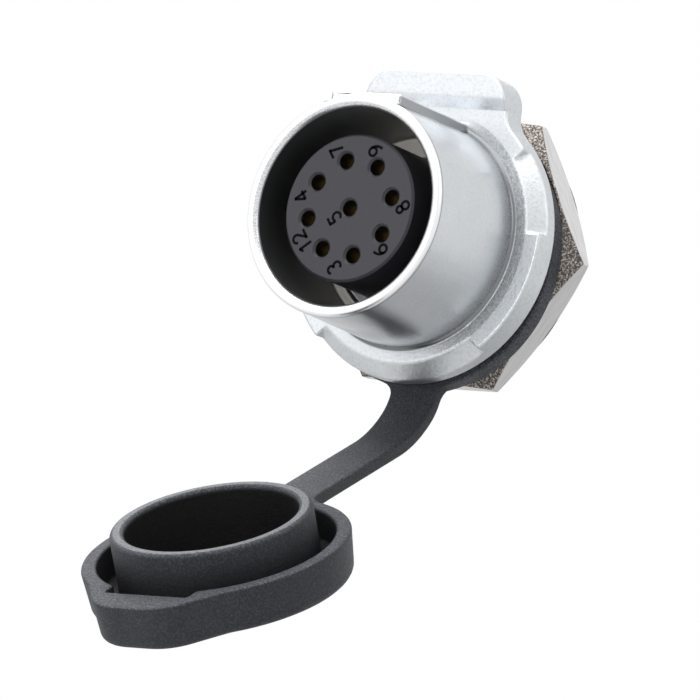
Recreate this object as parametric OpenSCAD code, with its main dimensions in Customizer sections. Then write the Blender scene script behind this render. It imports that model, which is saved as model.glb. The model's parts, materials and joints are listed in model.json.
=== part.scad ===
// Panel socket of a circular connector, with hexagon nut and tethered rubber dust cap.
// Millimetres. The connector's axis is Y, the mouth faces -Y, the tab points up along +Z, and the
// origin is on the axis in the rear face of the flange.

/* [Socket mouth] */
// Radius of the socket bore
bore_r = 9.25; // [8.6:0.05:9.6]
// Radius of the barrel at its rim
rim_r = 10.4; // [10.2:0.05:10.8]
// Radius of the barrel where it meets the flange
barrel_root_r = 10.65; // [10.5:0.05:11]
// Distance from the rear face of the flange to the rim
barrel_len = 15.4; // [12:0.1:20]
// Distance from the rear face of the flange to the floor of the socket
floor_at = 3.2; // [2.6:0.1:4]
// Thickness of the web at the floor of the socket
web_t = 1.6; // [1:0.1:2]
// Rounding of the rim's outer edge
rim_round = 0.45; // [0.2:0.05:0.5]
// Chamfer of the rim's inner edge
rim_chamfer = 0.45; // [0.2:0.05:0.5]
// Fillet between the barrel and the flange
root_fillet = 0.4; // [0.2:0.05:0.8]

/* [Key pad] */
// Width of the key pad on top of the barrel
pad_w = 7.6; // [6:0.1:9]
// Height of the pad's flat top above the axis
pad_top = 10.75; // [10.7:0.05:11.2]
// Distance from the rim back to the front of the pad
pad_setback = 0.8; // [0.6:0.1:3]

/* [Flange] */
// Radius of the flange
flange_r = 13.5; // [13.3:0.05:14.5]
// Thickness of the flange
flange_t = 2.8; // [2.2:0.1:3]
// Radius at which a scooped cut-back starts on the front face
scoop_r = 12.05; // [11.6:0.05:12.4]
// Thickness of the flange left behind a scoop
scoop_rim_t = 1.4; // [1:0.1:1.6]
// Angle of the side scoops' centre from the top
side_scoop_at = 67.6; // [66:0.2:74]
// Half angle of a side scoop at its inner edge
side_scoop_half = 17.4; // [14:0.2:19]
// Half angle of the bottom scoop at its inner edge
bottom_scoop_half = 40.9; // [30:0.2:43]
// Angle by which the end walls of a scoop open outwards
scoop_splay = 3; // [1:0.2:4]

/* [Tab] */
// Width of the tab above the flange
tab_w = 15.4; // [14:0.1:17]
// Height of the tab's top above the axis
tab_top = 15.6; // [15.6:0.1:18]
// Radius of the tab's top corners
tab_corner_r = 3; // [1:0.1:3]
// Radius of the fillet between the tab and the flange
tab_fillet_r = 3; // [2:0.1:3]
// Amount by which the tab's plate stands proud of the flange
tab_proud = 0.7; // [0.3:0.05:1]
// Height above the axis at which the plate starts to rise
tab_step_low = 12.2; // [11.9:0.1:12.5]
// Height above the axis at which the plate is fully raised
tab_step_high = 13.3; // [13:0.1:14]

/* [Shank] */
// Mean radius of the thread on the shank
thread_r = 9.7; // [9.6:0.05:10]
// Length of the shank behind the flange
shank_len = 10.2; // [9.6:0.1:16]
// Chamfer at the end of the shank
shank_chamfer = 0.5; // [0.2:0.1:0.7]
// Radius of the rear bore
rear_bore_r = 8.4; // [8.2:0.05:8.6]
// Depth of the groove for the retaining ring
ring_groove = 0.55; // [0.3:0.05:0.6]

/* [Insulators] */
// Radius of the insert in the mouth
insert_r = 6.9; // [6.4:0.05:7]
// Radius of the insert's neck in the web
neck_r = 7.15; // [7.1:0.05:7.3]
// Distance from the insert's face to the rear face of the flange
insert_face_at = 14.2; // [11:0.1:15]
// Chamfer round the insert's face
insert_chamfer = 0.2; // [0.1:0.05:0.5]
// Length of the insert's shoulder behind the web
shoulder_len = 4; // [3:0.1:5]
// Length of the rear insulator
rear_insulator_len = 5; // [4:0.1:6]
// Sliding clearance round the insulators and contacts
slip = 0.05; // [0.02:0.01:0.1]

/* [Contacts] */
// Diameter of the contact circle
contact_circle_d = 9; // [8.6:0.1:9.4]
// Angle of the first contact from the top
contact_start = 29.3; // [0:0.1:45]
// Radius of a contact hole in the face
entry_r = 0.76; // [0.6:0.01:0.82]
// Chamfer round a contact hole
entry_chamfer = 0.22; // [0.05:0.01:0.25]
// Depth of a contact behind the face
contact_setback = 2.2; // [1:0.1:3]
// Outer radius of a contact
contact_r = 0.85; // [0.8:0.01:0.95]
// Radius of the hole that takes a plug's pin
pin_hole_r = 0.52; // [0.45:0.01:0.55]
// Depth of the hole that takes a plug's pin
pin_hole_depth = 6; // [4:0.1:8]
// Width of the slots that make a contact springy
spring_slot = 0.25; // [0.15:0.01:0.3]
// Length of the slots that make a contact springy
spring_slot_len = 5; // [3:0.1:6]
// Radius of the collar on a contact
collar_r = 1.25; // [1.1:0.01:1.35]
// Length of the collar on a contact
collar_len = 1; // [0.6:0.1:1.4]
// Radius of the solder cup
cup_r = 0.95; // [0.9:0.01:1]
// Radius of the hole in the solder cup
cup_hole_r = 0.66; // [0.5:0.01:0.7]
// Length of the solder cup behind the rear insulator
cup_len = 5.5; // [4.5:0.1:7]
// Depth of the hole in the solder cup
cup_depth = 4; // [3:0.1:4.2]
// Length of the open half of the solder cup
cup_open_len = 3; // [2:0.1:3]

/* [Seal and retaining ring] */
// Thickness of the insert's O-ring as it sits in its groove
seal_t = 0.84; // [0.7:0.02:0.9]
// Thickness of the retaining ring
ring_t = 1; // [0.6:0.05:1.2]
// Inner radius of the retaining ring
ring_inner_r = 7.4; // [7:0.05:7.8]
// Opening of the retaining ring
ring_gap_w = 4; // [2:0.1:6]

/* [Gasket and nut] */
// Thickness of the panel gasket
gasket_t = 0.9; // [0.6:0.05:1.2]
// Outer radius of the panel gasket
gasket_r = 12.7; // [12:0.05:13]
// Gap between the thread's mean radius and the gasket and cap ring
ring_play = 0.35; // [0.2:0.05:0.5]
// Width across the nut's flats
nut_af = 25.2; // [24:0.1:27]
// Thickness of the nut
nut_t = 3.3; // [2.5:0.1:4]
// Angle of the nut's first corner from the top
nut_turned = 31; // [0:1:59]
// Angle of the chamfer on the nut's corners
nut_chamfer = 30; // [20:1:35]
// Amount by which the nut's round faces stay inside its flats
nut_edge = 0.05; // [0.05:0.05:0.3]
// Running clearance of the nut on the shank
nut_clearance = 0.05; // [0.02:0.01:0.1]
// Gap between the nut and the cap ring
nut_gap = 0.05; // [0.02:0.01:0.3]

/* [Cap ring and strap] */
// Angle by which the cap ring is turned on the shank
ring_turned = -2; // [-10:1:10]
// Thickness of the cap ring
cap_ring_t = 1.8; // [1.4:0.1:2.2]
// Outer radius of the cap ring
cap_ring_r = 12.85; // [12.6:0.05:13]
// Distance by which the loose cap ring hangs below the connector's axis
ring_drop = 0.85; // [0:0.05:0.9]
// Width of the strap
strap_w = 5; // [4:0.1:7]
// Thickness of the strap
strap_t = 1.2; // [1:0.1:1.8]
// Distance of the upper bend's axis below the connector's axis
upper_bend_at = 15; // [14.8:0.1:16]
// Distance below the connector's axis at which the strap starts to curve
strap_root_at = 13; // [12.6:0.1:13.4]
// Radius of the strap's first curve, below the ring
strap_root_r = 6; // [5:0.1:8]
// Angle at which the first curve passes into the wider one
strap_root_turn = 36; // [28:1:44]
// Radius of the strap's second, wider curve
strap_sweep_r = 14; // [10:0.5:20]
// Angle through which the strap has turned forwards at the end of the second curve
strap_turn = 60; // [52:1:68]
// Length of the straight stretch of the strap, up to the lower bend
strap_straight = 12.4; // [10:0.1:18]
// Gap round the strap's ends at the two bends
bend_gap = 0.45; // [0.35:0.05:0.6]
// Fillet between the strap and the ring, and between the strap and the cap
strap_fillet = 1.5; // [0.8:0.1:2]

/* [Dust cap] */
// Angle by which the open cap's mouth leans forwards from straight up
cap_lean = 32; // [20:1:45]
// Outer radius of the skirt
skirt_r = 12.15; // [12:0.05:13]
// Wall of the skirt
skirt_wall = 1.4; // [1:0.05:1.45]
// Height of the skirt
skirt_h = 4.2; // [3.4:0.1:5]
// Draft of the skirt: how much narrower its foot is
skirt_draft = 0.3; // [0:0.05:0.4]
// Thickness of the end wall
end_wall = 1.2; // [1:0.1:1.6]
// Amount by which the plug ring stands above the skirt
plug_rise = 2.8; // [2:0.1:4]
// Clearance between the plug ring and the socket bore
plug_clearance = 0.1; // [0.05:0.01:0.2]
// Wall of the plug ring
plug_wall = 1.3; // [0.9:0.1:1.6]
// Rounding of the plug ring's lip
plug_round = 0.5; // [0.2:0.05:0.6]
// Width of the bump that covers the key pad
bump_w = 11.4; // [10.8:0.1:13]
// Reach of the bump from the cap's axis
bump_reach = 14.6; // [13.8:0.1:15.5]
// Radius of the bump's corners
bump_corner_r = 4.4; // [4.2:0.1:5]
// Angle by which the bump's sides turn towards its end
bump_side_angle = -38; // [-41:1:0]
// Clearance between the key pad and its pocket in the skirt
pocket_clearance = 0.6; // [0.3:0.1:0.8]
// Rounding of the cap's outer lower edge
cap_round = 1; // [0.3:0.1:1.1]
// Distance of the lower bend's axis from the skirt
lower_bend_out = 2.4; // [2.3:0.1:3]

/* [Hidden] */
$fn = 96;
// Small overlap of joined shapes, margin by which a cut runs past its edge, and more than the part's size
eps = 0.01;
over = 1;
far = 40;

zinc = [0.78, 0.80, 0.82];
nickel = [0.78, 0.76, 0.75];
gold = [0.85, 0.66, 0.28];
steel = [0.62, 0.63, 0.65];
black_rubber = [0.13, 0.14, 0.15];
insulator_grey = [0.27, 0.27, 0.29];

// Stations along the axis
rim_y = -barrel_len;
floor_y = -floor_at;
web_rear_y = floor_y + web_t;
insert_face_y = -insert_face_at;
shoulder_end_y = web_rear_y + shoulder_len;
rear_insulator_end_y = shoulder_end_y + rear_insulator_len;
ring_groove_end_y = rear_insulator_end_y + ring_t;
cap_ring_y = gasket_t;
nut_y = gasket_t + cap_ring_t + nut_gap;
hole_r = thread_r + ring_play;
seal_outer_r = rear_bore_r - 3 * slip;

// Number of each contact on the circle, clockwise from the first one, and of the one in the middle
contact_numbers = [9, 8, 6, 3, 1, 2, 4, 7];
middle_number = 5;
contact_count = len(contact_numbers);
contact_pitch = 360 / contact_count;
contact_front_y = insert_face_y + contact_setback;
collar_y = shoulder_end_y - collar_len;
contact_end_y = rear_insulator_end_y + cup_len;

// Strap in side view: it leaves the ring downwards, turns forwards on two arcs, then runs straight
function arc_point(centre, r, angle) = centre + r * [cos(angle), -sin(angle)];
strap_mid_y = cap_ring_y + strap_t / 2;
root_centre = [strap_mid_y - strap_root_r, -strap_root_at];
upper_bend_angle = asin((upper_bend_at - strap_root_at) / strap_root_r);
upper_bend = arc_point(root_centre, strap_root_r, upper_bend_angle);
sweep_centre = arc_point(root_centre, strap_root_r - strap_sweep_r, strap_root_turn);
sweep_end = arc_point(sweep_centre, strap_sweep_r, strap_turn);
lower_bend = sweep_end - strap_straight * [sin(strap_turn), cos(strap_turn)];
bend_seat_r = strap_t / 2 + bend_gap;

// Cap: its own axis points out of the mouth, and its strap side is towards its own +Y
plug_r = bore_r - plug_clearance;
skirt_inner_r = skirt_r - skirt_wall;
plug_top = skirt_h + plug_rise;
cap_strap_h = skirt_h - strap_t / 2;
cap_to_bend = skirt_r + lower_bend_out;
cap_out = [cos(cap_lean), sin(cap_lean)];
cap_up = [-sin(cap_lean), cos(cap_lean)];
cap_origin = lower_bend - cap_to_bend * cap_out - cap_strap_h * cap_up;

// Placing helpers

// Turns a shape made round Z so that it lies round the connector's axis
module round_axis() rotate([-90, 0, 0]) children();

// Extrudes an outline drawn in X and Z from y0 back to y1
module along_axis(y0, y1) translate([0, y1, 0]) rotate([90, 0, 0]) linear_extrude(y1 - y0) children();

// Extrudes an outline drawn in Y and Z evenly to both sides of the middle plane
module across(w) translate([-w / 2, 0, 0]) rotate([90, 0, 90]) linear_extrude(w) children();

// Places a child at one contact of the circle, without turning it
module at_contact(i) {
    angle = contact_start + i * contact_pitch;
    translate(contact_circle_d / 2 * [sin(angle), 0, cos(angle)]) children();
}

// A plain cylinder round the connector's axis
module drum(r, y0, y1) translate([0, y0, 0]) round_axis() cylinder(r = r, h = y1 - y0);

// A ring round the connector's axis
module hoop(r_out, r_in, y0, y1) difference() {
    drum(r_out, y0, y1);
    drum(r_in, y0 - over, y1 + over);
}

// Shell

// Half section of the barrel, to be turned about the axis: radius first, place along the axis second
module barrel_section() difference() {
    union() {
        polygon([[bore_r - over, rim_y], [rim_r - rim_round, rim_y], [rim_r, rim_y + rim_round],
                 [barrel_root_r, -flange_t], [barrel_root_r, -eps], [bore_r - over, -eps]]);
        translate([rim_r - rim_round, rim_y + rim_round]) circle(rim_round);
        difference() {
            translate([barrel_root_r - root_fillet, -flange_t - root_fillet])
                square([2 * root_fillet, root_fillet + eps]);
            translate([barrel_root_r + root_fillet, -flange_t - root_fillet]) circle(root_fillet);
        }
    }
    polygon([[0, rim_y - over], [bore_r + rim_chamfer + over, rim_y - over],
             [bore_r, rim_y + rim_chamfer], [0, rim_y + rim_chamfer]]);
}

// Outline of the flange and tab together, seen along the axis
module flange_outline() {
    corner_x = tab_w / 2 - tab_corner_r;
    fillet_x = tab_w / 2 + tab_fillet_r;
    fillet_z = sqrt(pow(flange_r + tab_fillet_r, 2) - pow(fillet_x, 2));
    touch = flange_r / (flange_r + tab_fillet_r) * [fillet_x, fillet_z];
    circle(flange_r);
    translate([-tab_w / 2, 0]) square([tab_w, tab_top - tab_corner_r]);
    translate([-corner_x, 0]) square([2 * corner_x, tab_top]);
    for (side = [-1, 1]) scale([side, 1]) {
        translate([corner_x, tab_top - tab_corner_r]) circle(tab_corner_r);
        difference() {
            polygon([[0, 0], [touch.x, touch.y], [fillet_x, fillet_z], [0, fillet_z]]);
            translate([fillet_x, fillet_z]) circle(tab_fillet_r);
        }
    }
}

// The tab's raised plate, with the slope at its foot
module tab_plate() intersection() {
    along_axis(-flange_t - tab_proud, 0) flange_outline();
    across(far) polygon([[-flange_t, tab_step_low], [-flange_t - tab_proud, tab_step_high],
                         [-flange_t - tab_proud, far], [-eps, far], [-eps, tab_step_low]]);
}

// What one scoop takes from the flange's front edge: a cone outside, between two splayed ends
module scoop(half_angle) {
    inner = scoop_r * [sin(half_angle), cos(half_angle)];
    outer_angle = half_angle + scoop_splay;
    outer = far * [sin(outer_angle), cos(outer_angle)];
    slope = (flange_r - scoop_r) / (flange_t - scoop_rim_t);
    intersection() {
        difference() {
            drum(far, -flange_t - over, -scoop_rim_t);
            translate([0, -flange_t - over, 0]) round_axis()
                cylinder(r1 = scoop_r - over * slope, r2 = flange_r, h = flange_t + over - scoop_rim_t);
        }
        along_axis(-far, far)
            polygon([[0, 0], [-inner.x, inner.y], [-outer.x, outer.y],
                     [outer.x, outer.y], [inner.x, inner.y]]);
    }
}

module shell() color(zinc) difference() {
    union() {
        round_axis() rotate_extrude() barrel_section();
        along_axis(-flange_t, 0) flange_outline();
        tab_plate();
        translate([-pad_w / 2, rim_y + pad_setback, 0])
            cube([pad_w, barrel_len - pad_setback - flange_t + eps, pad_top]);
        drum(thread_r, -eps, shank_len - shank_chamfer);
        translate([0, shank_len - shank_chamfer, 0]) round_axis()
            cylinder(r1 = thread_r, r2 = thread_r - shank_chamfer, h = shank_chamfer);
    }
    drum(bore_r, rim_y - over, floor_y);
    drum(neck_r + slip, floor_y - over, far);
    drum(rear_bore_r, web_rear_y, far);
    drum(rear_bore_r + ring_groove, rear_insulator_end_y, ring_groove_end_y);
    for (side = [-1, 1]) rotate([0, side * side_scoop_at, 0]) scoop(side_scoop_half);
    rotate([0, 180, 0]) scoop(bottom_scoop_half);
}

// Insulators

// Opening for one contact through the front insulator, from the face to the shoulder's end
module contact_cavity() {
    drum(entry_r, insert_face_y - over, contact_front_y);
    translate([0, insert_face_y - eps, 0]) round_axis()
        cylinder(r1 = entry_r + entry_chamfer, r2 = entry_r, h = entry_chamfer);
    drum(contact_r + slip, contact_front_y - slip, far);
    drum(collar_r + slip, collar_y, far);
}

module contact_insert() color(insulator_grey) difference() {
    union() {
        translate([0, insert_face_y, 0]) round_axis()
            cylinder(r1 = insert_r - insert_chamfer, r2 = insert_r, h = insert_chamfer);
        drum(insert_r, insert_face_y + insert_chamfer, floor_y + eps);
        drum(neck_r, floor_y, web_rear_y + eps);
        drum(rear_bore_r - slip, web_rear_y, shoulder_end_y);
    }
    seal_space();
    contact_cavity_at_all();
}

// Every contact's opening, on the circle and in the middle
module contact_cavity_at_all() {
    for (i = [0:contact_count - 1]) at_contact(i) contact_cavity();
    contact_cavity();
}

// Groove for the O-ring in the front of the insert's shoulder
module seal_space() hoop(seal_outer_r, neck_r, web_rear_y, web_rear_y + seal_t + slip);

module rear_insulator() color(insulator_grey) difference() {
    drum(rear_bore_r - slip, shoulder_end_y, rear_insulator_end_y);
    for (i = [0:contact_count - 1]) at_contact(i) drum(cup_r + slip, shoulder_end_y - over, far);
    drum(cup_r + slip, shoulder_end_y - over, far);
}

module insert_seal() color(black_rubber)
    translate([0, web_rear_y + seal_t / 2 + slip / 2, 0]) round_axis() rotate_extrude()
        translate([(neck_r + seal_outer_r) / 2, 0]) circle(seal_t / 2, $fn = 32);

module retaining_ring() color(steel) difference() {
    hoop(rear_bore_r + ring_groove - slip, ring_inner_r, rear_insulator_end_y, ring_groove_end_y - slip);
    translate([-ring_gap_w / 2, 0, -far]) cube([ring_gap_w, far, far]);
}

// Contacts

// One contact on the connector's axis: split socket in front, collar, and open solder cup behind
module contact_body() color(gold) difference() {
    union() {
        drum(contact_r, contact_front_y, collar_y + eps);
        drum(collar_r, collar_y, shoulder_end_y);
        drum(cup_r, shoulder_end_y - eps, contact_end_y);
    }
    drum(pin_hole_r, contact_front_y - over, contact_front_y + pin_hole_depth);
    translate([-spring_slot / 2, contact_front_y - over, -far / 2])
        cube([spring_slot, spring_slot_len + over, far]);
    drum(cup_hole_r, contact_end_y - cup_depth, far);
    translate([-far / 2, contact_end_y - cup_open_len, cup_hole_r / 3]) cube([far, far, far]);
}

// The contact of one number, in its place
module contact(number) {
    found = search(number, contact_numbers);
    if (number == middle_number) contact_body();
    else at_contact(found[0]) contact_body();
}

// Gasket and nut

module panel_gasket() color(black_rubber) hoop(gasket_r, hole_r, 0, gasket_t);

module hex_nut() color(nickel) {
    corner_r = nut_af / 2 / cos(30);
    face_r = nut_af / 2 - nut_edge;
    cone_r = face_r + nut_t / tan(nut_chamfer);
    translate([0, nut_y, 0]) difference() {
        intersection() {
            rotate([0, nut_turned, 0]) round_axis() rotate([0, 0, 90])
                cylinder(r = corner_r, h = nut_t, $fn = 6);
            round_axis() cylinder(r1 = face_r, r2 = cone_r, h = nut_t);
            round_axis() cylinder(r1 = cone_r, r2 = face_r, h = nut_t);
        }
        drum(thread_r + nut_clearance, -over, nut_t + over);
    }
}

// Dust cap moulding

// Outline of a tongue that leaves a round edge of radius r upwards, with a fillet in each corner
module tongue(r, reach) {
    fillet_x = strap_w / 2 + strap_fillet;
    fillet_z = sqrt(pow(r + strap_fillet, 2) - pow(fillet_x, 2));
    touch = r / (r + strap_fillet) * [fillet_x, fillet_z];
    translate([-strap_w / 2, 0]) square([strap_w, reach]);
    intersection() {
        translate([-far, 0]) square([2 * far, reach]);
        for (side = [-1, 1]) scale([side, 1]) difference() {
            polygon([[0, 0], [touch.x, touch.y], [fillet_x, fillet_z], [0, fillet_z]]);
            translate([fillet_x, fillet_z]) circle(strap_fillet);
        }
    }
}

// Round seat that leaves room for the strap's end at a bend
module bend_seat(at) across(far) translate(at) circle(bend_seat_r);

module cap_ring() color(black_rubber) rotate([0, ring_turned, 0]) difference() {
    translate([0, 0, -ring_drop]) difference() {
        union() {
            drum(cap_ring_r, cap_ring_y, cap_ring_y + cap_ring_t);
            translate([0, strap_mid_y - strap_t / 2, 0]) along_axis(0, strap_t)
                rotate([0, 0, 180]) tongue(cap_ring_r, upper_bend_at - ring_drop - eps);
        }
        drum(hole_r + ring_drop, -over, far);
    }
    bend_seat(upper_bend);
    translate([-far / 2, -far / 2, -far - upper_bend_at]) cube([far, far, far]);
}

// Band of the strap's thickness along an arc between two angles
module strap_arc(centre, r, from, to) intersection() {
    translate(centre) difference() {
        circle(r + strap_t / 2);
        circle(r - strap_t / 2);
    }
    polygon([centre, arc_point(centre, 2 * r, from), arc_point(centre, 2 * r, to)]);
}

// Side view of the strap: round end, two arcs, straight stretch, round end
module strap_side() {
    overlap = 0.1;
    translate(upper_bend) circle(strap_t / 2);
    translate(lower_bend) circle(strap_t / 2);
    strap_arc(root_centre, strap_root_r, upper_bend_angle, strap_root_turn + overlap);
    strap_arc(sweep_centre, strap_sweep_r, strap_root_turn, strap_turn + overlap);
    translate(sweep_end) rotate(270 - strap_turn) translate([-eps, -strap_t / 2])
        square([strap_straight + eps, strap_t]);
}

module cap_strap() color(black_rubber) rotate([0, ring_turned, 0]) across(strap_w) strap_side();

// Half section of the cap's drafted outer wall, with a round lower edge: r is its reach at the mouth
module wall_section(r) {
    foot_r = r - skirt_draft;
    polygon([[0, 0], [foot_r - cap_round, 0], [foot_r, cap_round], [r, skirt_h], [0, skirt_h]]);
    intersection() {
        translate([foot_r - cap_round, cap_round]) circle(cap_round);
        square(r);
    }
}

// The bump that covers the key pad: two round corners, joined to two places inside the skirt
module bump() {
    corner = [bump_w / 2 - bump_corner_r, bump_corner_r - bump_reach];
    side_way = [-sin(bump_side_angle), cos(bump_side_angle)];
    inside = corner - (corner * side_way) * side_way;
    hull() for (at = [corner, inside], side = [-1, 1]) translate([side * at.x, at.y, 0])
        rotate_extrude($fn = 32) wall_section(bump_corner_r);
}

// Half section of the plug ring
module plug_section() {
    translate([plug_r - plug_wall, end_wall - eps])
        square([plug_wall, plug_top - end_wall - plug_round + eps]);
    translate([plug_r - plug_wall + plug_round, plug_top - 2 * plug_round])
        square([plug_wall - 2 * plug_round, 2 * plug_round]);
    for (r = [plug_r - plug_round, plug_r - plug_wall + plug_round])
        translate([r, plug_top - plug_round]) circle(plug_round);
}

// The cap about its own axis, with the mouth upwards
module cap_upright() {
    pocket_w = pad_w + 2 * pocket_clearance;
    difference() {
        union() {
            rotate_extrude() wall_section(skirt_r);
            bump();
            translate([0, 0, cap_strap_h - strap_t / 2]) linear_extrude(strap_t)
                tongue(skirt_r, cap_to_bend);
        }
        translate([0, 0, end_wall]) cylinder(r = skirt_inner_r, h = far);
        translate([-pocket_w / 2, -pad_top - pocket_clearance, end_wall]) cube([pocket_w, pad_top, far]);
    }
    rotate_extrude() plug_section();
}

module dust_cap() color(black_rubber) rotate([0, ring_turned, 0]) difference() {
    translate([0, cap_origin.x, cap_origin.y]) rotate([cap_lean, 0, 0]) cap_upright();
    bend_seat(lower_bend);
}

shell();
contact_insert();
rear_insulator();
insert_seal();
retaining_ring();
for (i = [1:9]) contact(i);
panel_gasket();
hex_nut();
cap_ring();
cap_strap();
dust_cap();
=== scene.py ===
"""Dresses a circular panel connector: zinc shell, numbered insert, gold contacts, nut and rubber dust cap."""
from __future__ import annotations

import json
import logging
import math
from collections.abc import Callable, Mapping, Sequence
from dataclasses import dataclass, field
from enum import Enum
from typing import Any

import bmesh
import bpy
from mathutils import Matrix, Vector

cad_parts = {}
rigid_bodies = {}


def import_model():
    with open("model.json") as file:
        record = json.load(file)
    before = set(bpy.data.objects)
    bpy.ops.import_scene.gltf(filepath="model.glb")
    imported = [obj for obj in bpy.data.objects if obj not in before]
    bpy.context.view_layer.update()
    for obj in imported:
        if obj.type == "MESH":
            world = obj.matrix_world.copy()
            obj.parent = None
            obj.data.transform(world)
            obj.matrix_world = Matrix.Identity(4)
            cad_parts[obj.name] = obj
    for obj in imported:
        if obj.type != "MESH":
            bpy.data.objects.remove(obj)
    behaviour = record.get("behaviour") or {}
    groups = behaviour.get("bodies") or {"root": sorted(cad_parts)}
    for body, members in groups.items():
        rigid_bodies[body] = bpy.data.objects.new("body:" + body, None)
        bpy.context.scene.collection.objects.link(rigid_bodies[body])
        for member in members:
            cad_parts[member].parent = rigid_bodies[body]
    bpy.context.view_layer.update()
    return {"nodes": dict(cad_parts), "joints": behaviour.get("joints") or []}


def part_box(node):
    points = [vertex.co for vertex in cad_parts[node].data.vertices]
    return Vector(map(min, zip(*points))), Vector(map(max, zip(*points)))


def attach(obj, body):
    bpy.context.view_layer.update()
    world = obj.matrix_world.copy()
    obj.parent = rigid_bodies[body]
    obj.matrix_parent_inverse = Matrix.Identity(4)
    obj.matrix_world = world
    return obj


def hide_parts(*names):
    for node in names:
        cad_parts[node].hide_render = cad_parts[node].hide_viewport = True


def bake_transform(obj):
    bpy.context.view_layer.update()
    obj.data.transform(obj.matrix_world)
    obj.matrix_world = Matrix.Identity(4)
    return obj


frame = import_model()

MM = 0.001
# How near two corners are when they are merged, and how narrow a face is when it counts as a sliver
MERGE = 0.002 * MM
SLIVER = 0.012 * MM
# The angle in degrees under which two faces are one
FLAT_ANGLE = 0.4
BEVEL_STEPS = 3
CONTACTS = range(1, 10)
# The attribute that keeps each rubber point's place in the mould
MOULD = "mould"
LOG = logging.getLogger("connector")
Colour = tuple[float, float, float, float]
Point = tuple[float, float]
BLACK: Colour = (0.0, 0.0, 0.0, 1.0)
WHITE: Colour = (1.0, 1.0, 1.0, 1.0)


class Body(str, Enum):
    """The bodies that pieces ride on."""

    SOCKET = "socket"
    NUT = "nut"
    STRAP = "strap"
    CAP = "cap"


class Slot(str, Enum):
    """The names of the record's material slots."""

    ZINC = "zinc_shell"
    INSULATOR = "insulator"
    RUBBER = "rubber"
    NUT = "nickel_nut"


def srgb(red: int, green: int, blue: int) -> Colour:
    """Turns a colour as a screen shows it into a linear one.

    Args:
        red: Red from 0 to 255.
        green: Green from 0 to 255.
        blue: Blue from 0 to 255.

    Returns:
        The linear colour, with full alpha.
    """
    parts = (channel / 255 for channel in (red, green, blue))
    linear = [p / 12.92 if p <= 0.04045 else ((p + 0.055) / 1.055) ** 2.4 for p in parts]
    return (linear[0], linear[1], linear[2], 1.0)


# Node trees

def arithmetic(operation: str, reflected: bool = False) -> Callable[[Sock, Sock | float], Sock]:
    """Makes a method of Sock that adds one Math node.

    Args:
        operation: The Math node's operation.
        reflected: Whether the other value comes first, as the 1 does in 1 - mask.

    Returns:
        The method, which takes the other value.
    """
    def method(self: Sock, other: Sock | float) -> Sock:
        """Gives the operation's result on both values."""
        first, second = (other, self) if reflected else (self, other)
        return self.graph.node("ShaderNodeMath", {"operation": operation}, {0: first, 1: second})

    return method


class Sock:
    """An output socket that arithmetic can be written with.

    The methods most and least give the larger and the smaller of two values.
    """

    def __init__(self, graph: Graph, socket: bpy.types.NodeSocket) -> None:
        """Wraps one output socket of a graph's tree."""
        self.graph = graph
        self.socket = socket

    __add__, __radd__ = arithmetic("ADD"), arithmetic("ADD", reflected=True)
    __sub__, __rsub__ = arithmetic("SUBTRACT"), arithmetic("SUBTRACT", reflected=True)
    __mul__, __rmul__ = arithmetic("MULTIPLY"), arithmetic("MULTIPLY", reflected=True)
    __truediv__, __rtruediv__ = arithmetic("DIVIDE"), arithmetic("DIVIDE", reflected=True)
    __pow__, __rpow__ = arithmetic("POWER"), arithmetic("POWER", reflected=True)
    most, least = arithmetic("MAXIMUM"), arithmetic("MINIMUM")

    def hypot(self, other: Sock) -> Sock:
        """Gives the distance that two values at right angles make."""
        return (self * self + other * other) ** 0.5

    def rise(self, low: Sock | float, high: Sock | float) -> Sock:
        """Gives a smooth step from 0 at low to 1 at high."""
        sockets = {"Value": self, "From Min": low, "From Max": high}
        return self.graph.node("ShaderNodeMapRange", {"interpolation_type": "SMOOTHSTEP"}, sockets)

    def fall(self, low: Sock | float, high: Sock | float) -> Sock:
        """Gives a smooth step from 1 at low to 0 at high."""
        return 1 - self.rise(low, high)


@dataclass(frozen=True)
class Grain:
    """A noise: its lumps in a millimetre, all ways or each way, its levels of detail and their strength."""

    lumps: float | tuple[float, float, float]
    detail: float = 3.0
    rough: float = 0.5


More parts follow.
